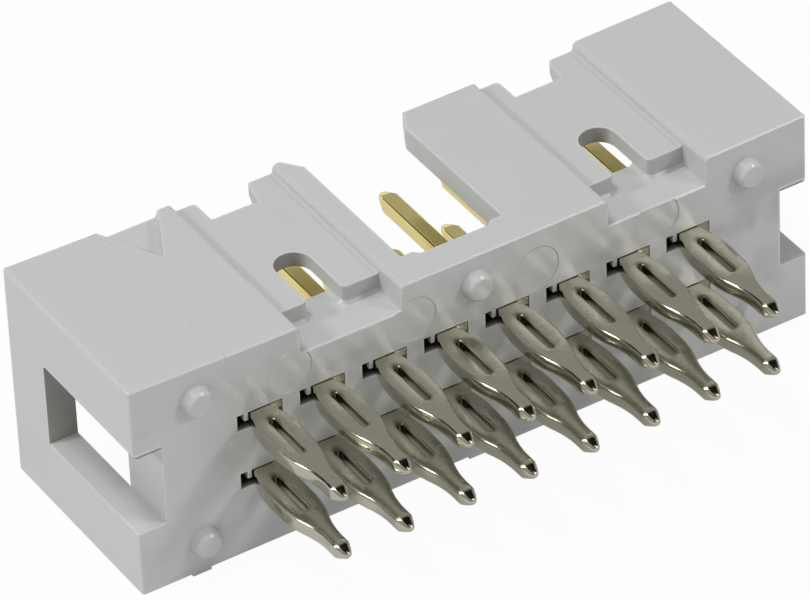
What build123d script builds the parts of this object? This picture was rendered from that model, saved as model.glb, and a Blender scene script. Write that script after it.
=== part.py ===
from math import atan2, degrees, radians, sqrt, tan
import os

from build123d import *

os.makedirs("parts", exist_ok=True)

# Lengths are in millimetres. X runs along the rows, Y is the mating direction, Z is up.
# The plane Y = 0 is the rear face, which stands off the board, and the plug enters from +Y.

# Contact grid
pitch = 2.54
row_pitch = 2.54
column_count = 8

# Housing
end_margin = 5.08
housing_height = 8.94
housing_depth = 8.65
base_thickness = 2.50
long_wall = 1.14
end_wall = 1.15
wall_bow = 0.20
corner_round = 0.12
edge_bevel = 0.06
cavity_round = 0.20
lead_in_width = 0.30
lead_in_depth = 0.50

# Slots through the end walls
end_slot_height = 3.46
end_slot_depth = 6.15
end_slot_round = 0.15

# Notches in the plain wall beside the end walls, open at the mating edge
end_notch_width = 2.60
end_notch_back = 3.60

# Latch plates, sunk into the keyed wall on both sides of the polarising slot
plate_width = 4.12
plate_drop = 0.36
plate_centres = (-5.08, 7.62)
plate_rim_round = 0.20
plate_foot_round = 0.12
ledge_depth = 1.48
ledge_drop = 0.14
ledge_foot_bevel = 0.12
window_width = 1.42
window_shift = -0.12
window_arch_depth = 4.30
tongue_round = 0.25
notch_left = 1.14
notch_right = 0.80
notch_slant = 0.22
notch_depth = 1.20
notch_round = 0.28

# Polarising slot, and the rib and the key block beside it
slot_width = 4.18
slot_centre = -0.04
slot_back = 1.45
slot_relief_width = 2.80
slot_relief_depth = 0.21
rib_chamfer_width = 0.62
rib_chamfer_depth = 0.80
key_chamfer_width = 0.42
key_chamfer_depth = 0.87

# Triangle that marks contact 1
mark_centre = -8.95
mark_width = 2.58
mark_length = 2.55
mark_drop = 0.36
mark_slope = 0.22

# Stand-off bosses and ejector marks on the rear face
boss_radius = 0.60
boss_height = 0.45
boss_taper = 12
boss_bevel = 0.10
boss_spread = 11.40
boss_upper = 3.08
boss_lower = -3.17
ejector_radius = 0.90
ejector_depth = 0.03
ejector_height = 2.62

# Small pads under the rear edge of the plain wall
pad_centres = (-11.54, -0.12)
pad_width = 0.74
pad_depth = 0.60
pad_proud = 0.12

# Contact
post_size = 0.64
post_recess = 0.30
post_taper = 0.58
post_tip_size = 0.28
blade_thickness = 0.62
blade_left = 0.41
blade_right = 0.87
blade_depth = 1.60
tail_thickness = 0.60
tail_length = 5.58
tail_neck_width = 0.84
tail_eye_width = 1.40
tail_eye_start = 1.60
tail_eye_end = 2.30
tail_shank_width = 0.62
tail_shank_length = 0.40
tail_point_length = 0.48
tail_point_width = 0.34
tail_point_thickness = 0.20
tail_edge_bevel = 0.09
needle_start = 0.75
needle_end = 2.90
needle_width = 0.21
coin_width = 0.42
coin_drop = 0.10

# Clearances of a contact in the housing
pocket_gap = 0.03
pocket_void = 0.52
bore_gap = 0.02
tooth_gap = 0.07
tooth_width = 0.16
tooth_height = 0.32

# How far a cutting shape runs past the surface that it opens
overrun = 1.0

# Derived sizes
housing_length = (column_count - 1) * pitch + 2 * end_margin
half_length = housing_length / 2
half_height = housing_height / 2
cavity_half_length = half_length - end_wall
cavity_half_height = half_height - long_wall
cavity_depth = housing_depth - base_thickness
cut_top = half_height + overrun
ledge_floor = cavity_half_height - ledge_drop
column_places = [(i - (column_count - 1) / 2) * pitch for i in range(column_count)]
row_places = {"upper": row_pitch / 2, "lower": -row_pitch / 2}
contact_places = [(x, z) for z in row_places.values() for x in column_places]
bow_radius = (half_length**2 + wall_bow**2) / (2 * wall_bow)
rear_face = Plane.XZ


def top_height(x):
    # Height of the bowed outer face of the keyed wall at x
    return half_height - wall_bow + bow_radius - sqrt(bow_radius**2 - x**2)


def slit_outline(half_width, margin):
    # Pointed outline along the tail, round the needle's eye and wider than it by the margin
    start = margin - needle_start
    end = -margin - needle_end
    return (
        (0, start),
        (-half_width, start - half_width),
        (-half_width, end + half_width),
        (0, end),
        (half_width, end + half_width),
        (half_width, start - half_width),
    )


# Housing
with BuildPart() as housing:
    # Block with the bowed keyed wall
    with BuildSketch(rear_face):
        with BuildLine():
            Polyline(
                (-half_length, half_height),
                (-half_length, -half_height),
                (half_length, -half_height),
                (half_length, half_height),
            )
            ThreePointArc(
                (half_length, half_height),
                (0, top_height(0)),
                (-half_length, half_height),
            )
        make_face()
    extrude(amount=-housing_depth)
    fillet(housing.edges().filter_by(Axis.Z), corner_round)

    # Recesses of the latch plates, with round feet and rims, along the whole wall
    for centre in plate_centres:
        left = centre - plate_width / 2
        right = centre + plate_width / 2
        with BuildSketch(rear_face) as recess:
            with BuildLine():
                ThreePointArc(
                    (left, top_height(left) - plate_drop),
                    (centre, top_height(centre) - plate_drop),
                    (right, top_height(right) - plate_drop),
                )
                Polyline(
                    (right, top_height(right) - plate_drop),
                    (right, cut_top),
                    (left, cut_top),
                    (left, top_height(left) - plate_drop),
                )
            make_face()
            fillet(recess.vertices().filter_by(lambda v: v.Z < half_height), plate_foot_round)
        extrude(amount=-housing_depth, mode=Mode.SUBTRACT)
    walls = housing.faces().filter_by(Axis.X).filter_by(lambda f: abs(f.center().X) < cavity_half_length)
    fillet([wall.edges().sort_by(Axis.Z)[-1] for wall in walls], plate_rim_round)
    rims = housing.edges().filter_by(lambda e: abs(e.center().Z) > cavity_half_height)
    inner_rims = rims.filter_by(Axis.Y).filter_by(lambda e: abs(e.center().X) < cavity_half_length)
    chamfer(rims - inner_rims, edge_bevel)

    # Cavity for the plug, with its lead-in
    with BuildSketch(rear_face.offset(-base_thickness)):
        RectangleRounded(2 * cavity_half_length, 2 * cavity_half_height, cavity_round)
    extrude(amount=-cavity_depth, mode=Mode.SUBTRACT)
    mating_face = housing.faces().sort_by(Axis.Y)[-1]
    mouth = mating_face.inner_wires()[0].edges()
    chamfer(mouth, length=lead_in_width, length2=lead_in_depth, reference=mating_face)

    # Slots through both end walls
    for side in (-1, 1):
        with BuildSketch(Plane.YZ.offset(side * cavity_half_length)) as end_slot:
            Rectangle(end_slot_depth, end_slot_height, align=(Align.MIN, Align.CENTER))
            fillet(end_slot.vertices().group_by(Axis.Y)[-1], end_slot_round)
        extrude(amount=side * (end_wall + overrun), mode=Mode.SUBTRACT)

    # Notches in the plain wall, beside both end walls
    end_notch_centre = cavity_half_length - end_notch_width / 2
    with BuildSketch(Plane.XY.offset(-cavity_half_height + cavity_round)):
        with Locations((-end_notch_centre, end_notch_back), (end_notch_centre, end_notch_back)):
            Rectangle(end_notch_width, housing_depth, align=(Align.CENTER, Align.MIN))
    extrude(amount=-half_height, mode=Mode.SUBTRACT)

    # Ledge behind the two tongues of each latch plate, and the arched window between them
    arch_start = window_arch_depth - window_width / 2
    for centre in plate_centres:
        window_centre = centre + window_shift
        with BuildSketch(Plane.XY.offset(ledge_floor)) as ledge:
            with Locations((centre, 0)):
                Rectangle(plate_width, ledge_depth, align=(Align.CENTER, Align.MIN))
            with Locations((window_centre, 0)):
                Rectangle(window_width, arch_start, align=(Align.CENTER, Align.MIN))
            with Locations((window_centre, arch_start)):
                Circle(window_width / 2)
            corners = ledge.vertices().filter_by(lambda v: abs(v.Y - ledge_depth) < edge_bevel)
            fillet(corners.sort_by(Axis.X)[1:-1], tongue_round)
        extrude(amount=half_height, mode=Mode.SUBTRACT)

        # Notch in the mating edge
        notch_floor = housing_depth - notch_depth
        notch_reach = notch_slant + notch_depth
        with BuildSketch(Plane.XY.offset(cavity_half_height)) as notch:
            Polygon(
                (centre - notch_left, notch_floor),
                (centre + notch_right, notch_floor),
                (centre + notch_right + notch_slant, housing_depth),
                (centre + notch_reach, housing_depth),
                (centre + notch_reach, housing_depth + overrun),
                (centre - notch_reach, housing_depth + overrun),
                (centre - notch_reach, housing_depth),
                (centre - notch_left, housing_depth),
                align=None,
            )
            corners = notch.vertices().filter_by(lambda v: abs(v.Y - housing_depth) < edge_bevel)
            fillet(corners.sort_by(Axis.X)[1:-1], notch_round)
        extrude(amount=half_height, mode=Mode.SUBTRACT)

    # Bevelled rear edge of each ledge, and sloped feet of the tongues
    floor_range = (ledge_floor - edge_bevel, ledge_floor + edge_bevel)
    floors = housing.faces().filter_by(Axis.Z).filter_by_position(Axis.Z, *floor_range)
    chamfer([floor.edges().sort_by(Axis.Y)[0] for floor in floors], edge_bevel)
    floors = housing.faces().filter_by(Axis.Z).filter_by_position(Axis.Z, *floor_range)
    foot_edges = ShapeList([edge for floor in floors for edge in floor.edges()])
    foot_start = ledge_depth - edge_bevel
    foot_end = base_thickness - edge_bevel
    chamfer(foot_edges.filter_by(lambda e: foot_start < e.center().Y < foot_end), ledge_foot_bevel)

    # Polarising slot, with its relief at the back and its chamfered mouth
    slot_left = slot_centre - slot_width / 2
    slot_right = slot_centre + slot_width / 2
    with BuildSketch(Plane.XY.offset(cavity_half_height - lead_in_width)):
        with BuildLine():
            Polyline(
                (slot_left, slot_back),
                (slot_centre - slot_relief_width / 2 - slot_relief_depth, slot_back),
                (slot_centre - slot_relief_width / 2, slot_back - slot_relief_depth),
                (slot_centre + slot_relief_width / 2, slot_back - slot_relief_depth),
                (slot_centre + slot_relief_width / 2 + slot_relief_depth, slot_back),
                (slot_right, slot_back),
                (slot_right, housing_depth - key_chamfer_depth),
                (slot_right + key_chamfer_width, housing_depth),
                (slot_right + key_chamfer_width, housing_depth + overrun),
                (slot_left - rib_chamfer_width, housing_depth + overrun),
                (slot_left - rib_chamfer_width, housing_depth),
                (slot_left, housing_depth - rib_chamfer_depth),
                close=True,
            )
        make_face()
    extrude(amount=half_height, mode=Mode.SUBTRACT)

    # Pin-1 triangle, open at the mating edge, with one sloped wall
    mark_half = mark_width / 2
    mark_apex = housing_depth - mark_length
    mark_reach = 1 + overrun / mark_length
    mark_end = mark_apex + mark_length * mark_reach
    mark_top = top_height(mark_centre)
    with BuildSketch(Plane.XY.offset(mark_top - mark_drop)):
        Polygon(
            (mark_centre, mark_apex),
            (mark_centre + mark_half * mark_reach - mark_slope, mark_end),
            (mark_centre - mark_half * mark_reach, mark_end),
            align=None,
        )
    with BuildSketch(Plane.XY.offset(mark_top + mark_drop)):
        Polygon(
            (mark_centre, mark_apex),
            (mark_centre + mark_half * mark_reach + mark_slope, mark_end),
            (mark_centre - mark_half * mark_reach, mark_end),
            align=None,
        )
    loft(ruled=True, mode=Mode.SUBTRACT)

    # Stand-off bosses, ejector marks and pads
    boss_places = [(x, z) for x in (-boss_spread, 0, boss_spread) for z in (boss_upper, boss_lower)]
    with BuildSketch(rear_face):
        with Locations(*boss_places):
            Circle(boss_radius)
    extrude(amount=boss_height - boss_bevel, taper=boss_taper)
    with BuildSketch(rear_face.offset(boss_height - boss_bevel)):
        with Locations(*boss_places):
            Circle(boss_radius - (boss_height - boss_bevel) * tan(radians(boss_taper)))
    extrude(amount=boss_bevel, taper=45)
    ejector_places = [((i - 1.5) * 2 * pitch, ejector_height) for i in range(column_count // 2)]
    with BuildSketch(rear_face):
        with Locations(*ejector_places):
            Circle(ejector_radius)
    extrude(amount=-ejector_depth, mode=Mode.SUBTRACT)
    with BuildSketch(Plane.XY.offset(-half_height - pad_proud)):
        with Locations(*[(x, edge_bevel) for x in pad_centres]):
            Rectangle(pad_width, pad_depth, align=(Align.CENTER, Align.MIN))
    extrude(amount=pad_proud + edge_bevel)

    # Contact pockets with their teeth, and the square bores beyond
    pocket_left = blade_left + pocket_void
    pocket_right = blade_right + pocket_gap
    pocket_width = pocket_left + pocket_right
    pocket_height = blade_thickness + 2 * bore_gap
    pocket_middle = (pocket_right - pocket_left) / 2
    tooth_middle = -blade_left - tooth_gap - tooth_width / 2
    with BuildSketch(rear_face):
        with Locations(*[(x + pocket_middle, z) for x, z in contact_places]):
            Rectangle(pocket_width, pocket_height)
        with Locations(*[(x + tooth_middle, z + pocket_height / 2) for x, z in contact_places]):
            Rectangle(
                tooth_width,
                tooth_height,
                align=(Align.CENTER, Align.MAX),
                mode=Mode.SUBTRACT,
            )
    extrude(amount=-blade_depth, mode=Mode.SUBTRACT)
    with BuildSketch(rear_face.offset(-blade_depth)):
        with Locations(*contact_places):
            Rectangle(post_size + 2 * bore_gap, post_size + 2 * bore_gap)
    extrude(amount=-(base_thickness - blade_depth), mode=Mode.SUBTRACT)

housing.part.label = "housing"
export_step(housing.part, "parts/housing.step")

# Contact: tail, blade and post in one piece, centred on its column at the rear face
half_tail = tail_thickness / 2
tail_point_start = tail_length - tail_point_length
tail_shank_start = tail_point_start - tail_shank_length
flank_middle = ((tail_eye_width + tail_shank_width) / 4, -(tail_eye_end + tail_shank_start) / 2)
coin_margin = (coin_width - needle_width) / 2
coin_taper = degrees(atan2(coin_margin, coin_drop))
post_tip = housing_depth - post_recess

with BuildPart() as contact:
    # Outline of the tail, a bulged eye that runs out into a narrow shank
    with BuildSketch(Plane.XY.offset(-half_tail)):
        with BuildLine():
            for side in (-1, 1):
                neck = (side * tail_neck_width / 2, 0)
                eye_start = (side * tail_eye_width / 2, -tail_eye_start)
                eye_end = (side * tail_eye_width / 2, -tail_eye_end)
                middle = (side * flank_middle[0], flank_middle[1])
                shank = (side * tail_shank_width / 2, -tail_shank_start)
                point = (side * tail_shank_width / 2, -tail_point_start)
                TangentArc(eye_start, neck, tangent=(0, 1))
                Line(eye_start, eye_end)
                TangentArc(eye_end, middle, tangent=(0, -1))
                TangentArc(shank, middle, tangent=(0, 1))
                Polyline(shank, point, (side * tail_point_width / 2, -tail_length))
            Line((-tail_point_width / 2, -tail_length), (tail_point_width / 2, -tail_length))
            Line((-tail_neck_width / 2, 0), (tail_neck_width / 2, 0))
        make_face()
    extrude(amount=tail_thickness)
    tail_faces = contact.faces().filter_by(Axis.Z)
    chamfer([edge for edge in tail_faces.edges() if edge.center().Y < 0], tail_edge_bevel)

    # Point thinned from both faces
    for side in (-1, 1):
        with BuildSketch(Plane.YZ.offset(-tail_eye_width)):
            Polygon(
                (-tail_point_start, side * half_tail),
                (-tail_length, side * tail_point_thickness / 2),
                (-tail_length - overrun, side * tail_point_thickness / 2),
                (-tail_length - overrun, side * tail_thickness),
                (-tail_point_start, side * tail_thickness),
                align=None,
            )
        extrude(amount=2 * tail_eye_width, mode=Mode.SUBTRACT)

    # Eye of the needle, a pointed slit, coined along both its mouths
    with BuildSketch(Plane.XY.offset(-tail_thickness)):
        Polygon(*slit_outline(needle_width / 2, 0), align=None)
    extrude(amount=2 * tail_thickness, mode=Mode.SUBTRACT)
    for side in (-1, 1):
        with BuildSketch(Plane.XY.offset(side * half_tail)):
            Polygon(*slit_outline(coin_width / 2, coin_margin * sqrt(2)), align=None)
        extrude(amount=-side * coin_drop, taper=coin_taper, mode=Mode.SUBTRACT)

    # Retention blade, whose front face stands on the pocket floor
    with BuildSketch(Plane.XY.offset(-blade_thickness / 2)):
        Polygon(
            (-blade_left, 0),
            (blade_right, 0),
            (blade_right, blade_depth),
            (-blade_left, blade_depth),
            align=None,
        )
    extrude(amount=blade_thickness)

    # Square post with a tapered tip
    with BuildSketch(rear_face.offset(-blade_depth)):
        Rectangle(post_size, post_size)
    extrude(amount=-(post_tip - post_taper - blade_depth))
    with BuildSketch(rear_face.offset(-(post_tip - post_taper))):
        Rectangle(post_size, post_size)
    extrude(amount=-post_taper, taper=degrees(atan2((post_size - post_tip_size) / 2, post_taper)))

# Both rows of contacts, numbered along +X
for row, z in row_places.items():
    for number, x in enumerate(column_places, start=1):
        placed = contact.part.moved(Location((x, 0, z)))
        placed.label = f"contact_{row}_{number}"
        export_step(placed, f"parts/{placed.label}.step")
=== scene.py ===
import bmesh
import bpy
import math
from mathutils import Matrix, Vector


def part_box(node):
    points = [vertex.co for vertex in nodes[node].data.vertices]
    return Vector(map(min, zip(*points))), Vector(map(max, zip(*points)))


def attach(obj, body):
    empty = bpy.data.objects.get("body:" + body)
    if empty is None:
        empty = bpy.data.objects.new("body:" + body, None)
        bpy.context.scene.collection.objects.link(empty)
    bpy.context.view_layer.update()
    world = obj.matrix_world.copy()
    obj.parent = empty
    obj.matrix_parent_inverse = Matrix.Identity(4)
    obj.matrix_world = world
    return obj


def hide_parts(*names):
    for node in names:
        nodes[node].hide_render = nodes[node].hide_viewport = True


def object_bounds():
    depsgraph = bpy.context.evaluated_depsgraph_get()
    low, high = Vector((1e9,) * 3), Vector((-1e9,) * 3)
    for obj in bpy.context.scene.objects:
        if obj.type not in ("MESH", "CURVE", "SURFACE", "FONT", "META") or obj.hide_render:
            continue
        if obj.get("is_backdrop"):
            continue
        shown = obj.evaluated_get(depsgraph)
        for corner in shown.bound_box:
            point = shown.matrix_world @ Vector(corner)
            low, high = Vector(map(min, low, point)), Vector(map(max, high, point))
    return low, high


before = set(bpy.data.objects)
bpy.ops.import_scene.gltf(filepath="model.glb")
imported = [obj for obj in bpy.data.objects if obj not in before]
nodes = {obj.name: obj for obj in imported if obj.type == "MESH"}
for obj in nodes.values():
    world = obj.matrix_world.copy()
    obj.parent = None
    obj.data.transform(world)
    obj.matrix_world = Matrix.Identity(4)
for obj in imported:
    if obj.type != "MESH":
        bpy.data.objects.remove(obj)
cadLow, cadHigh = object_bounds()
mm = 0.001
pitch = 2.54 * mm
smoothStep = {"interpolation_type": "SMOOTHSTEP"}  # a Map Range that eases in and out
print("frame loaded:", len(nodes), "nodes")


def srgb(code):
    # hex colour to the linear values that sockets take
    parts = [int(code[i:i + 2], 16) / 255 for i in (1, 3, 5)]
    linear = [c / 12.92 if c <= 0.04045 else ((c + 0.055) / 1.055) ** 2.4 for c in parts]
    return (*linear, 1.0)


def addNode(tree, kind, settings=None, links=None):
    # one node with its settings, and its inputs given as values or as sockets
    node = tree.nodes.new(kind)
    for name, value in (settings or {}).items():
        setattr(node, name, value)
    for name, value in (links or {}).items():
        if isinstance(value, bpy.types.NodeSocket):
            tree.links.new(value, node.inputs[name])
        else:
            node.inputs[name].default_value = value
    return node


def rowDistance(tree, z):
    # distance of a height from the nearer row of contacts
    height = addNode(tree, "ShaderNodeMath", {"operation": "ABSOLUTE"}, {0: z})
    above = addNode(tree, "ShaderNodeMath", {"operation": "SUBTRACT"}, {
        0: height.outputs[0], 1: pitch / 2})
    off = addNode(tree, "ShaderNodeMath", {"operation": "ABSOLUTE"}, {0: above.outputs[0]})
    return off.outputs[0]


def startMaterial(name):
    material = bpy.data.materials.new(name)
    material.use_nodes = True
    material.node_tree.nodes.clear()
    return material, material.node_tree


def endMaterial(tree, shader):
    addNode(tree, "ShaderNodeOutputMaterial", links={"Surface": shader.outputs[0]})


def dress(piece, material):
    piece.data.materials.clear()
    piece.data.materials.append(material)


def makeActive(piece):
    bpy.ops.object.select_all(action="DESELECT")
    piece.select_set(True)
    bpy.context.view_layer.objects.active = piece


def addBlock(name, low, high):
    # a block between two corners in millimetres, with its place in its mesh
    bpy.ops.object.select_all(action="DESELECT")
    middle = [(a + b) / 2 * mm for a, b in zip(low, high)]
    size = [(b - a) * mm for a, b in zip(low, high)]
    bpy.ops.mesh.primitive_cube_add(size=1, location=middle, scale=size)
    piece = bpy.context.object
    piece.name = name
    bpy.ops.object.transform_apply(location=True, rotation=True, scale=True)
    return piece


def openMesh(piece, level):
    # edit mode with nothing selected
    makeActive(piece)
    bpy.ops.object.mode_set(mode="EDIT")
    bpy.ops.mesh.select_mode(type=level)
    bpy.ops.mesh.select_all(action="DESELECT")


def closeMesh():
    bpy.ops.object.mode_set(mode="OBJECT")


def pick(piece, kind, wanted):
    # selects the verts, edges or faces that pass the test
    shape = bmesh.from_edit_mesh(piece.data)
    for part in getattr(shape, kind):
        part.select_set(False)
    for part in getattr(shape, kind):
        if wanted(part):
            part.select_set(True)
    shape.select_flush_mode()
    bmesh.update_edit_mesh(piece.data)


def finishWith(piece, kind, **settings):
    # adds one modifier and applies it
    makeActive(piece)
    modifier = piece.modifiers.new(kind.lower(), kind)
    for name, value in settings.items():
        setattr(modifier, name, value)
    bpy.ops.object.modifier_apply(modifier=modifier.name)


def joinSolid(piece, other, how):
    finishWith(piece, "BOOLEAN", object=other, operation=how, solver="EXACT")
    bpy.data.objects.remove(other)


# Contact, in millimetres from its column at the rear face: tail, blade and square post.
# Nose: stations as distance, half width and half thickness. Rounds: distance, edge radius.
contact = {
    "tailLength": 5.58,
    "halfThick": 0.30,
    "neckHalf": 0.42,
    "eyeHalf": 0.70,
    "eyeStart": 1.60,
    "eyeEnd": 2.30,
    "shankHalf": 0.31,
    "shankStart": 4.70,
    "pointStart": 5.12,
    "nose": [(5.22, 0.285, 0.262), (5.33, 0.247, 0.214), (5.43, 0.207, 0.170),
             (5.505, 0.168, 0.138), (5.537, 0.145, 0.118), (5.558, 0.122, 0.096),
             (5.573, 0.092, 0.070), (5.58, 0.056, 0.042)],
    "stationStep": 0.16,
    "stationNear": 0.001,  # how close to its station a ring's vertex lies
    "cutNear": 0.0001,  # how close to a cut a vertex counts as on it
    "roundProfile": 0.5,
    "rounds": [(0.0, 0.045), (2.2, 0.055), (3.1, 0.13), (4.0, 0.15), (5.1, 0.155),
               (5.22, 0.165), (5.33, 0.165), (5.43, 0.145), (5.505, 0.105), (5.53, 0.08),
               (5.565, 0.05), (5.58, 0.03)],
    "roundSteps": 4,
    "slitStart": 0.75,
    "slitEnd": 2.90,
    "slitHalf": 0.105,
    "slitCorner": 0.98,  # corner radius as a share of the half width
    "slitSteps": 6,
    "slitLip": 0.10,
    "lipSteps": 4,
    "mouthHigh": 0.002,  # how close a mouth's edges lie to the face, and to the slit
    "mouthWide": 0.004,
    "bladeLeft": 0.41,
    "bladeRight": 0.87,
    "bladeDepth": 1.60,
    "bladeHalf": 0.31,
    "bladeEdge": 0.02,
    "bladeSteps": 2,
    "postHalf": 0.32,
    "postOverlap": 0.1,
    "postFacing": 0.9,  # least y of the normal of a face that looks forward
    "postTipStart": 7.77,
    "postEnd": 8.35,
    "postTipHalf": 0.14,
    "postEdge": 0.085,
    "postSteps": 3,
    "postEdgeDegrees": 20,
    "smoothDegrees": 32,
    "normalWeight": 80,
}


def flankHalf(y):
    # half width of the tail at y mm behind the rear face, along its arcs
    eye, shank = contact["eyeHalf"], contact["shankHalf"]
    if y < contact["eyeStart"]:
        reach, drop = contact["eyeStart"], eye - contact["neckHalf"]
        radius = (reach ** 2 + drop ** 2) / (2 * drop)
        return eye - radius + math.sqrt(radius ** 2 - (contact["eyeStart"] - y) ** 2)
    if y < contact["eyeEnd"]:
        return eye
    if y > contact["shankStart"]:
        return shank
    reach, drop = (contact["shankStart"] - contact["eyeEnd"]) / 2, (eye - shank) / 2
    radius = (reach ** 2 + drop ** 2) / (2 * drop)
    if y < contact["eyeEnd"] + reach:
        return eye - radius + math.sqrt(radius ** 2 - (y - contact["eyeEnd"]) ** 2)
    return shank + radius - math.sqrt(radius ** 2 - (contact["shankStart"] - y) ** 2)


def roundAt(y):
    # radius of the tail's long edges at y
    steps = contact["rounds"]
    for (y0, r0), (y1, r1) in zip(steps, steps[1:]):
        if y <= y1:
            return r0 + (r1 - r0) * (y - y0) / (y1 - y0)
    return steps[-1][1]


def makeTail():
    # a block cut at stations, each of which is then drawn in to the tail's outline
    count = round(contact["pointStart"] / contact["stationStep"])
    starts = [contact["pointStart"] * i / count for i in range(count + 1)]
    wide, thick = contact["eyeHalf"], contact["halfThick"]
    near = contact["stationNear"] * mm
    rings = [(y, flankHalf(y), thick) for y in starts] + contact["nose"]
    tail = addBlock("tail", (-wide, -contact["tailLength"], -thick), (wide, 0, thick))
    for ring in rings[1:-1]:
        openMesh(tail, "FACE")
        bpy.ops.mesh.select_all(action="SELECT")
        bpy.ops.mesh.bisect(plane_co=(0, -ring[0] * mm, 0), plane_no=(0, 1, 0),
                            threshold=contact["cutNear"] * mm)
        closeMesh()
    for y, half, high in rings:
        openMesh(tail, "VERT")
        pick(tail, "verts", lambda v: abs(v.co.y + y * mm) < near)
        bpy.ops.transform.resize(
            value=(half / wide, 1, high / thick), center_override=(0, -y * mm, 0))
        closeMesh()
    # the long edges and the end's edges are rounded, the rings are not
    weights = tail.data.attributes.new("bevel_weight_edge", "FLOAT", "EDGE")
    largest = max(radius for y, radius in contact["rounds"])
    for edge in tail.data.edges:
        a, b = [tail.data.vertices[i].co for i in edge.vertices]
        along = abs(a.y - b.y) > near
        atEnd = a.y < near - contact["tailLength"] * mm and not along
        radius = roundAt(-(a.y + b.y) / 2 / mm) if along or atEnd else 0
        weights.data[edge.index].value = radius / largest
    finishWith(tail, "BEVEL", limit_method="WEIGHT", width=largest * mm,
               segments=contact["roundSteps"], use_clamp_overlap=False)
    return tail


def cutSlit(tail):
    half, thick = contact["slitHalf"], contact["halfThick"]
    slit = addBlock("slit", (-half, -contact["slitEnd"], -2 * thick),
                    (half, -contact["slitStart"], 2 * thick))
    openMesh(slit, "EDGE")
    pick(slit, "edges", lambda e: abs(e.verts[0].co.z - e.verts[1].co.z) > thick * mm)
    bpy.ops.mesh.bevel(offset=contact["slitCorner"] * half * mm,
                       segments=contact["slitSteps"], profile=contact["roundProfile"])
    closeMesh()
    joinSolid(tail, slit, "DIFFERENCE")

    def onMouth(v):
        low, high = -(contact["slitEnd"] - half) * mm, -(contact["slitStart"] + half) * mm
        reach = math.hypot(v.co.x, v.co.y - min(max(v.co.y, low), high))
        onFace = abs(abs(v.co.z) - thick * mm) < contact["mouthHigh"] * mm
        return onFace and reach < (half + contact["mouthWide"]) * mm

    # the mouths on both faces are pressed round
    openMesh(tail, "EDGE")
    pick(tail, "edges", lambda e: all(onMouth(v) for v in e.verts))
    bpy.ops.mesh.bevel(offset=contact["slitLip"] * mm, segments=contact["lipSteps"],
                       profile=contact["roundProfile"], clamp_overlap=False)
    closeMesh()


def makeBlade():
    high = contact["bladeHalf"]
    blade = addBlock("blade", (-contact["bladeLeft"], 0, -high),
                     (contact["bladeRight"], contact["bladeDepth"], high))
    finishWith(blade, "BEVEL", width=contact["bladeEdge"] * mm, segments=contact["bladeSteps"])
    return blade


def makePost():
    half = contact["postHalf"]
    post = addBlock("post", (-half, contact["bladeDepth"] - contact["postOverlap"], -half),
                    (half, contact["postTipStart"], half))
    openMesh(post, "FACE")
    pick(post, "faces", lambda f: f.normal.y > contact["postFacing"])
    reach = (contact["postEnd"] - contact["postTipStart"]) * mm
    bpy.ops.mesh.extrude_region_move(TRANSFORM_OT_translate={"value": (0, reach, 0)})
    share = contact["postTipHalf"] / half
    bpy.ops.transform.resize(
        value=(share, 1, share), center_override=(0, contact["postEnd"] * mm, 0))
    closeMesh()
    finishWith(post, "BEVEL", width=contact["postEdge"] * mm, segments=contact["postSteps"],
               limit_method="ANGLE", angle_limit=math.radians(contact["postEdgeDegrees"]))
    return post


def makeContact():
    piece = makeTail()
    cutSlit(piece)
    joinSolid(piece, makeBlade(), "UNION")
    joinSolid(piece, makePost(), "UNION")
    makeActive(piece)
    bpy.ops.object.shade_smooth_by_angle(angle=math.radians(contact["smoothDegrees"]))
    finishWith(piece, "WEIGHTED_NORMAL", keep_sharp=True, weight=contact["normalWeight"])
    return piece


# Contact metal: phosphor bronze, matt tin over nickel on the tail, gold on the post.
# The tin looks warm grey and mirrors the housing softly; the slit shows the bare bronze.
# Tin's real grain is too fine to show, so it is drawn as coarse as 0.25 mm.
plating = {
    "tin": "#C2BEAD",
    "bronze": "#4E3A26",
    "gold": "#FFEDA2",
    # painted shade on the blade's back and in the pocket
    "bladeShade": "#8E8A7C",
    "bladeFrom": -0.03 * mm,
    "goldFrom": 1.2 * mm,
    "stainY": -0.92 * mm,
    "stainHalfX": 0.24 * mm,
    "stainHalfY": 0.48 * mm,
    "stainInner": 0.3,  # as shares of the half sizes
    "stainOuter": 1.2,
    "stainShare": 0.9,
    "smoothest": 0.10,
    "roughest": 0.16,
    "flatFrom": 0.25 * mm,
    "flatFull": 0.29 * mm,
    "flatDull": 0.12,
    "grain": 0.25 * mm,
    "grainDetail": 2.0,
    "grainLow": 0.3,
    "grainHigh": 0.7,
    "grainStrength": 0.3,
    "grainHeight": 0.006 * mm,
}


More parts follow.
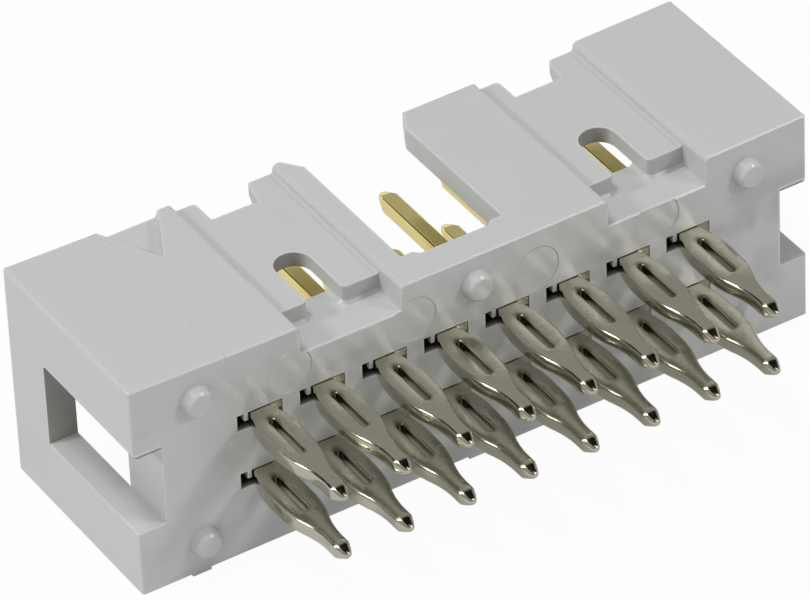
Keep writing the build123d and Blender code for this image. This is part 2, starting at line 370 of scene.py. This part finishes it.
def makePlating():
    material, tree = startMaterial("tinnedBronze")
    place = addNode(tree, "ShaderNodeTexCoord").outputs["Object"]
    x, y, z = addNode(tree, "ShaderNodeSeparateXYZ", links={"Vector": place}).outputs
    # distance from the start of the contact's own slit, where the bare bronze shows
    wrap = addNode(tree, "ShaderNodeMath", {"operation": "WRAP"}, {0: x, 1: pitch, 2: 0.0})
    across = addNode(tree, "ShaderNodeMapRange", {"clamp": False}, {
        "Value": wrap.outputs[0], "From Min": pitch / 2,
        "From Max": pitch / 2 + plating["stainHalfX"]})
    along = addNode(tree, "ShaderNodeMapRange", {"clamp": False}, {
        "Value": y, "From Min": plating["stainY"],
        "From Max": plating["stainY"] + plating["stainHalfY"]})
    spot = addNode(tree, "ShaderNodeCombineXYZ", links={
        "X": across.outputs["Result"], "Y": along.outputs["Result"]})
    reach = addNode(tree, "ShaderNodeVectorMath", {"operation": "LENGTH"}, {0: spot.outputs[0]})
    stain = addNode(tree, "ShaderNodeMapRange", smoothStep, {
        "Value": reach.outputs["Value"],
        "From Min": plating["stainInner"], "From Max": plating["stainOuter"],
        "To Min": plating["stainShare"], "To Max": 0.0})
    # painted shade: the blade's back and its part inside the pocket are painted darker, so they
    # mirror less of the bright floor
    onBlade = addNode(tree, "ShaderNodeMath", {"operation": "GREATER_THAN"}, {
        0: y, 1: plating["bladeFrom"]})
    onPost = addNode(tree, "ShaderNodeMath", {"operation": "GREATER_THAN"}, {
        0: y, 1: plating["goldFrom"]})
    tint = srgb(plating["tin"])
    for share, colour in ((stain, "bronze"), (onBlade, "bladeShade"), (onPost, "gold")):
        tint = addNode(tree, "ShaderNodeMix", {"data_type": "RGBA"}, {
            "Factor": share.outputs[0], 6: tint, 7: srgb(plating[colour])}).outputs[2]
    grain = addNode(tree, "ShaderNodeTexNoise", links={
        "Vector": place, "Scale": 1 / plating["grain"], "Detail": plating["grainDetail"]})
    gloss = addNode(tree, "ShaderNodeMapRange", links={
        "Value": grain.outputs["Fac"],
        "From Min": plating["grainLow"], "From Max": plating["grainHigh"],
        "To Min": plating["smoothest"], "To Max": plating["roughest"]})
    # the coined flat faces of the tail are duller than its drawn edges
    flat = addNode(tree, "ShaderNodeMapRange", smoothStep, {
        "Value": rowDistance(tree, z),
        "From Min": plating["flatFrom"], "From Max": plating["flatFull"],
        "To Min": 0.0, "To Max": plating["flatDull"]})
    onTail = addNode(tree, "ShaderNodeMath", {"operation": "LESS_THAN"}, {
        0: y, 1: plating["bladeFrom"]})
    rough = addNode(tree, "ShaderNodeMath", {"operation": "MULTIPLY_ADD"}, {
        0: flat.outputs["Result"], 1: onTail.outputs[0], 2: gloss.outputs["Result"]})
    skin = addNode(tree, "ShaderNodeBump", links={
        "Height": grain.outputs["Fac"], "Strength": plating["grainStrength"],
        "Distance": plating["grainHeight"]})
    shader = addNode(tree, "ShaderNodeBsdfPrincipled", links={
        "Base Color": tint, "Metallic": 1.0, "Roughness": rough.outputs[0],
        "Normal": skin.outputs["Normal"]})
    endMaterial(tree, shader)
    return material


# Housing plastic: glass-filled polyester, moulded against a fine spark-eroded tool.
# That gives a satin skin with very small grain, and soft reflections of the tails.
# The grain is drawn 0.06 mm coarse, about as fine as still shows.
plastic = {
    "colour": "#C8CAC9",
    "shade": "#C4C6C5",
    "roughness": 0.25,
    "ior": 1.55,
    "flow": 3.0 * mm,
    "flowDetail": 3.0,
    "softEdge": 0.07 * mm,
    "edgeSamples": 6,
    "wave": 1.3 * mm,
    "waveDetail": 1.0,
    "waveHeight": 0.010 * mm,
    "grain": 0.06 * mm,
    "grainDetail": 2.0,
    "grainStrength": 0.25,
    "grainHeight": 0.004 * mm,
    "lineX": -10.13 * mm,
    "lineHalf": 0.05 * mm,
    "lineHeight": 0.012 * mm,
    "lineAbove": 4.2 * mm,
    # painted shade inside the contact pockets
    "pocket": "#453C30",
    "pocketHalf": 0.345 * mm,
    "pocketEnd": 1.62 * mm,
    "pocketFade": 0.35 * mm,
    "rowEnd": 10.3 * mm,
    # painted light and shade on the rear face near the rows, and painted light towards the end
    # beside contact 1
    "paintedStreakDark": "#B1B2B1",
    "paintedStreakLight": "#CACBCA",
    "paintedStreak": 2.2 * mm,
    "paintedStreakDetail": 1.5,
    "paintedStreakTwist": 1.2,
    "paintedStreakLow": 0.35,
    "paintedStreakHigh": 0.68,
    "paintedStreakDepth": 0.03 * mm,
    "paintedStreakFrom": 2.03 * mm,
    "paintedStreakTo": 2.9 * mm,
    "paintedStreakNear": 0.8,
    "paintedStreakFar": 0.15,
    "paleFrom": -8.0 * mm,
    "paleTo": -13.0 * mm,
    "paleLean": 0.22,
    # painted highlight on the outer edges
    "edge": "#DEDCD6",
    "edgeReach": 0.11 * mm,
    "edgeFrom": 0.55,
    "edgeShare": 0.75,
    # painted shade on walls that face back
    "recess": "#8F8B83",
    "recessFrom": 3.3 * mm,
    "recessShare": 0.75,
    "backFrom": -0.2,
    "backFull": -0.8,
    "plateZ": 3.0 * mm,
    "plateFrom": 1.2 * mm,
    "plateShare": 0.5,
}


def mouldSkin(tree, place, x, z):
    # soft edges, shallow waves and fine grain
    soft = addNode(tree, "ShaderNodeBevel", {"samples": plastic["edgeSamples"]}, {
        "Radius": plastic["softEdge"]})
    wave = addNode(tree, "ShaderNodeTexNoise", links={
        "Vector": place, "Scale": 1 / plastic["wave"], "Detail": plastic["waveDetail"]})
    sunk = addNode(tree, "ShaderNodeBump", links={
        "Height": wave.outputs["Fac"], "Strength": 1.0, "Distance": plastic["waveHeight"],
        "Normal": soft.outputs["Normal"]})
    grain = addNode(tree, "ShaderNodeTexNoise", links={
        "Vector": place, "Scale": 1 / plastic["grain"], "Detail": plastic["grainDetail"]})
    skin = addNode(tree, "ShaderNodeBump", links={
        "Height": grain.outputs["Fac"], "Strength": plastic["grainStrength"],
        "Distance": plastic["grainHeight"], "Normal": sunk.outputs["Normal"]})
    # the mould's joint line stands a little proud on the block beside contact 1
    past = addNode(tree, "ShaderNodeMath", {"operation": "SUBTRACT"}, {
        0: x, 1: plastic["lineX"]})
    off = addNode(tree, "ShaderNodeMath", {"operation": "ABSOLUTE"}, {0: past.outputs[0]})
    ridge = addNode(tree, "ShaderNodeMapRange", smoothStep, {
        "Value": off.outputs[0], "From Min": 0.0, "From Max": plastic["lineHalf"],
        "To Min": 1.0, "To Max": 0.0})
    onTop = addNode(tree, "ShaderNodeMath", {"operation": "GREATER_THAN"}, {
        0: z, 1: plastic["lineAbove"]})
    height = addNode(tree, "ShaderNodeMath", {"operation": "MULTIPLY"}, {
        0: ridge.outputs["Result"], 1: onTop.outputs[0]})
    line = addNode(tree, "ShaderNodeBump", links={
        "Height": height.outputs[0], "Strength": 1.0, "Distance": plastic["lineHeight"],
        "Normal": skin.outputs["Normal"]})
    return line.outputs["Normal"]


def paintedRearStreaks(tree, place, x, y, z):
    # painted light and shade: soft pale and dark marks on the rear face round the pockets, in
    # place of the tails' soft shadows and the light they throw back
    swirl = addNode(tree, "ShaderNodeTexNoise", links={
        "Vector": place, "Scale": 1 / plastic["paintedStreak"], "Detail": plastic["paintedStreakDetail"],
        "Distortion": plastic["paintedStreakTwist"]})
    # painted light: the marks get paler towards the end beside contact 1
    lean = addNode(tree, "ShaderNodeMapRange", links={
        "Value": x, "From Min": plastic["paleFrom"], "From Max": plastic["paleTo"],
        "To Min": 0.0, "To Max": plastic["paleLean"]})
    leant = addNode(tree, "ShaderNodeMath", {"operation": "ADD"}, {
        0: swirl.outputs["Fac"], 1: lean.outputs["Result"]})
    turn = addNode(tree, "ShaderNodeMapRange", smoothStep, {
        "Value": leant.outputs[0],
        "From Min": plastic["paintedStreakLow"], "From Max": plastic["paintedStreakHigh"]})
    marks = addNode(tree, "ShaderNodeMix", {"data_type": "RGBA"}, {
        "Factor": turn.outputs["Result"],
        6: srgb(plastic["paintedStreakDark"]), 7: srgb(plastic["paintedStreakLight"])})
    onRear = addNode(tree, "ShaderNodeMath", {"operation": "LESS_THAN"}, {
        0: y, 1: plastic["paintedStreakDepth"]})
    height = addNode(tree, "ShaderNodeMath", {"operation": "ABSOLUTE"}, {0: z})
    nearRows = addNode(tree, "ShaderNodeMapRange", smoothStep, {
        "Value": height.outputs[0],
        "From Min": plastic["paintedStreakFrom"], "From Max": plastic["paintedStreakTo"],
        "To Min": plastic["paintedStreakNear"], "To Max": plastic["paintedStreakFar"]})
    share = addNode(tree, "ShaderNodeMath", {"operation": "MULTIPLY"}, {
        0: onRear.outputs[0], 1: nearRows.outputs["Result"]})
    return share.outputs[0], marks.outputs[2]


def farWalls(tree, normal, y, z):
    # painted shade: the far walls of the end slots and windows face back into the dark inside,
    # so they are painted a darker brownish grey
    tilt = addNode(tree, "ShaderNodeSeparateXYZ", links={"Vector": normal})
    facesBack = addNode(tree, "ShaderNodeMapRange", smoothStep, {
        "Value": tilt.outputs["Y"],
        "From Min": plastic["backFrom"], "From Max": plastic["backFull"],
        "To Min": 0.0, "To Max": plastic["recessShare"]})
    isDeep = addNode(tree, "ShaderNodeMath", {"operation": "GREATER_THAN"}, {
        0: y, 1: plastic["recessFrom"]})
    # the steps of the latch plates get less of this painted shade
    isHigh = addNode(tree, "ShaderNodeMath", {"operation": "GREATER_THAN"}, {
        0: z, 1: plastic["plateZ"]})
    isIn = addNode(tree, "ShaderNodeMath", {"operation": "GREATER_THAN"}, {
        0: y, 1: plastic["plateFrom"]})
    onPlate = addNode(tree, "ShaderNodeMath", {"operation": "MULTIPLY"}, {
        0: isHigh.outputs[0], 1: isIn.outputs[0]})
    less = addNode(tree, "ShaderNodeMath", {"operation": "MULTIPLY"}, {
        0: onPlate.outputs[0], 1: plastic["plateShare"]})
    either = addNode(tree, "ShaderNodeMath", {"operation": "MAXIMUM"}, {
        0: isDeep.outputs[0], 1: less.outputs[0]})
    share = addNode(tree, "ShaderNodeMath", {"operation": "MULTIPLY"}, {
        0: facesBack.outputs["Result"], 1: either.outputs[0]})
    return share.outputs[0]


def pocketShade(tree, x, y, z):
    # painted shade: the contact pockets are deep and narrow, so their walls are painted nearly
    # black
    inRow = addNode(tree, "ShaderNodeMath", {"operation": "LESS_THAN"}, {
        0: rowDistance(tree, z), 1: plastic["pocketHalf"]})
    depth = addNode(tree, "ShaderNodeMapRange", smoothStep, {
        "Value": y, "From Min": 0.0, "From Max": plastic["pocketFade"]})
    shallow = addNode(tree, "ShaderNodeMath", {"operation": "LESS_THAN"}, {
        0: y, 1: plastic["pocketEnd"]})
    along = addNode(tree, "ShaderNodeMath", {"operation": "ABSOLUTE"}, {0: x})
    nearRow = addNode(tree, "ShaderNodeMath", {"operation": "LESS_THAN"}, {
        0: along.outputs[0], 1: plastic["rowEnd"]})
    share = inRow
    for limit in (depth, shallow, nearRow):
        share = addNode(tree, "ShaderNodeMath", {"operation": "MULTIPLY"}, {
            0: share.outputs[0], 1: limit.outputs[0]})
    return share.outputs[0]


def makePlastic():
    material, tree = startMaterial("mouldedPolyester")
    where = addNode(tree, "ShaderNodeTexCoord")
    place = where.outputs["Object"]
    x, y, z = addNode(tree, "ShaderNodeSeparateXYZ", links={"Vector": place}).outputs
    flow = addNode(tree, "ShaderNodeTexNoise", links={
        "Vector": place, "Scale": 1 / plastic["flow"], "Detail": plastic["flowDetail"]})
    # painted highlight: outer edges are painted paler, so they look like thin pale beads
    inner = addNode(tree, "ShaderNodeAmbientOcclusion", {
        "inside": True, "only_local": True, "samples": plastic["edgeSamples"]}, {
        "Distance": plastic["edgeReach"]})
    rim = addNode(tree, "ShaderNodeMapRange", smoothStep, {
        "Value": inner.outputs["AO"], "From Min": plastic["edgeFrom"], "From Max": 1.0,
        "To Min": plastic["edgeShare"], "To Max": 0.0})
    # each tint lies over the ones before it
    layers = [
        (flow.outputs["Fac"], srgb(plastic["colour"])),
        paintedRearStreaks(tree, place, x, y, z),
        (rim.outputs["Result"], srgb(plastic["edge"])),
        (farWalls(tree, where.outputs["Normal"], y, z), srgb(plastic["recess"])),
        (pocketShade(tree, x, y, z), srgb(plastic["pocket"])),
    ]
    tint = srgb(plastic["shade"])
    for share, colour in layers:
        tint = addNode(tree, "ShaderNodeMix", {"data_type": "RGBA"}, {
            "Factor": share, 6: tint, 7: colour}).outputs[2]
    shader = addNode(tree, "ShaderNodeBsdfPrincipled", links={
        "Base Color": tint, "Roughness": plastic["roughness"], "IOR": plastic["ior"],
        "Normal": mouldSkin(tree, place, x, z)})
    endMaterial(tree, shader)
    return material


dress(nodes["housing"], makePlastic())
metal = makePlating()
print("materials made")

first = makeContact()
dress(first, metal)
print("contact modelled:", len(first.data.polygons), "faces")
for name in sorted(nodes):
    if not name.startswith("contact_"):
        continue
    dress(nodes[name], metal)
    low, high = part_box(name)
    # on the low x side, the eye stands out furthest from the contact's column
    piece = first.copy()
    piece.data = first.data.copy()
    piece.name = name.replace("contact_", "pin_")
    place = Vector((low.x + contact["eyeHalf"] * mm, 0, (low.z + high.z) / 2))
    piece.data.transform(Matrix.Translation(place))
    bpy.context.scene.collection.objects.link(piece)
    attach(piece, "root")
    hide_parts(name)
bpy.data.objects.remove(first)
print("contacts placed")

# Floor: white paper. The camera sees it as plain white but for a small share that is lit,
# which keeps the soft shadow. Reflections see mostly the lit paper.
floor = {
    "size": 2.0,
    "colour": "#E0E0E0",
    "shadowShare": 0.04,
    "mirroredShare": 0.85,
}


def makeFloor():
    bpy.ops.object.select_all(action="DESELECT")
    bpy.ops.mesh.primitive_plane_add(size=floor["size"], location=(0, 0, cadLow.z))
    plane = bpy.context.object
    plane.name = "floor"
    material, tree = startMaterial("paperWhite")
    matt = addNode(tree, "ShaderNodeBsdfDiffuse", links={"Color": srgb(floor["colour"])})
    glow = addNode(tree, "ShaderNodeEmission", links={"Color": (1, 1, 1, 1), "Strength": 1.0})
    rays = addNode(tree, "ShaderNodeLightPath")
    reflected = addNode(tree, "ShaderNodeMath", {"operation": "MAXIMUM"}, {
        0: rays.outputs["Is Glossy Ray"], 1: rays.outputs["Is Transmission Ray"]})
    mirrored = addNode(tree, "ShaderNodeMath", {"operation": "MULTIPLY"}, {
        0: reflected.outputs[0], 1: 1 - floor["mirroredShare"]})
    direct = addNode(tree, "ShaderNodeMath", {"operation": "MULTIPLY"}, {
        0: rays.outputs["Is Camera Ray"], 1: 1 - floor["shadowShare"]})
    seen = addNode(tree, "ShaderNodeMath", {"operation": "MAXIMUM"}, {
        0: mirrored.outputs[0], 1: direct.outputs[0]})
    blend = addNode(tree, "ShaderNodeMixShader", links={
        "Fac": seen.outputs[0], 1: matt.outputs[0], 2: glow.outputs[0]})
    endMaterial(tree, blend)
    dress(plane, material)
    plane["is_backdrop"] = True


makeFloor()

# World: a white sweep up from the floor, a grey studio above it, and two unlit patches.
# The one overhead darkens the tips, the one far left draws the dark line on the long edges.
sky = {
    "sweep": 1.0,
    "studio": 0.38,
    "sweepTop": 3,  # degrees above the level
    "studioFrom": 16,
    "dark": 0.01,
    "patches": [{"towards": (0.40, -0.28, 0.87), "inner": 26, "outer": 34},
                {"towards": (-0.53, 0.68, 0.50), "inner": 22, "outer": 30}],
}


def makeWorld():
    world = bpy.data.worlds.new("studio")
    bpy.context.scene.world = world
    world.use_nodes = True
    tree = world.node_tree
    tree.nodes.clear()
    place = addNode(tree, "ShaderNodeTexCoord").outputs["Generated"]
    split = addNode(tree, "ShaderNodeSeparateXYZ", links={"Vector": place})
    low, high = [math.sin(math.radians(sky[name])) for name in ("sweepTop", "studioFrom")]
    strength = addNode(tree, "ShaderNodeMapRange", smoothStep, {
        "Value": split.outputs["Z"], "From Min": low, "From Max": high,
        "To Min": sky["sweep"], "To Max": sky["studio"]})
    for patch in sky["patches"]:
        facing = addNode(tree, "ShaderNodeVectorMath", {"operation": "DOT_PRODUCT"}, {
            0: place, 1: Vector(patch["towards"]).normalized()})
        outer, inner = [math.cos(math.radians(patch[name])) for name in ("outer", "inner")]
        unlit = addNode(tree, "ShaderNodeMapRange", smoothStep, {
            "Value": facing.outputs["Value"], "From Min": outer, "From Max": inner,
            "To Min": 1.0, "To Max": sky["dark"]})
        strength = addNode(tree, "ShaderNodeMath", {"operation": "MULTIPLY"}, {
            0: strength.outputs[0], 1: unlit.outputs[0]})
    back = addNode(tree, "ShaderNodeBackground", links={
        "Color": (1, 1, 1, 1), "Strength": strength.outputs[0]})
    addNode(tree, "ShaderNodeOutputWorld", links={"Surface": back.outputs[0]})


makeWorld()
print("floor and world made")

# Lamps: each stands off the part and faces its middle. The front one throws the tails'
# shadows down to the left, and the spark adds a white dot on each tail's point.
lamps = {
    "key": {"towards": (-0.80, 0.24, 0.55), "distance": 0.26, "size": (0.04, 0.03),
            "watts": 0.17},
    "top": {"towards": (-0.28, 0.02, 0.96), "distance": 0.32, "size": (0.10, 0.10),
            "watts": 0.42},
    "front": {"towards": (0.52, -0.62, 0.58), "distance": 0.35, "size": (0.06, 0.06),
              "watts": 0.25},
    "spark": {"towards": (0.36, -0.30, 0.88), "distance": 0.32, "size": (0.045, 0.045),
              "watts": 0.03},
}


def makeLamps():
    middle = (cadLow + cadHigh) / 2
    for name, lamp in lamps.items():
        light = bpy.data.lights.new(name, "AREA")
        light.shape = "RECTANGLE"
        light.size, light.size_y = lamp["size"]
        light.energy = lamp["watts"]
        holder = bpy.data.objects.new(name, light)
        bpy.context.scene.collection.objects.link(holder)
        away = Vector(lamp["towards"]).normalized()
        holder.location = middle + away * lamp["distance"]
        holder.rotation_mode = "QUATERNION"
        holder.rotation_quaternion = (-away).to_track_quat("-Z", "Y")


makeLamps()

# Camera: the photograph's direction, distance and roll
lens = {
    "aim": (-1.54 * mm, 2.28 * mm, 1.59 * mm),
    "azimuth": -30.54,
    "elevation": 37.52,
    "roll": -2.705,
    "distance": 259.5 * mm,
    "fieldDegrees": 6.268,
    "sensorMm": 36,
    "clipStart": 0.01,
    "clipEnd": 10,
}


def makeCamera():
    camera = bpy.data.cameras.new("camera")
    camera.sensor_width = lens["sensorMm"]
    camera.lens = lens["sensorMm"] / 2 / math.tan(math.radians(lens["fieldDegrees"] / 2))
    camera.clip_start = lens["clipStart"]
    camera.clip_end = lens["clipEnd"]
    holder = bpy.data.objects.new("camera", camera)
    bpy.context.scene.collection.objects.link(holder)
    turn, rise = math.radians(lens["azimuth"]), math.radians(lens["elevation"])
    back = Vector((math.sin(turn) * math.cos(rise), -math.cos(turn) * math.cos(rise),
                   math.sin(rise)))
    holder.location = Vector(lens["aim"]) + back * lens["distance"]
    holder.rotation_euler = (-back).to_track_quat("-Z", "Y").to_euler()
    holder.rotation_euler.rotate_axis("Z", math.radians(lens["roll"]))
    bpy.context.scene.camera = holder


makeCamera()
bpy.context.scene.view_settings.view_transform = "Standard"
print("camera and lamps set")

low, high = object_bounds()
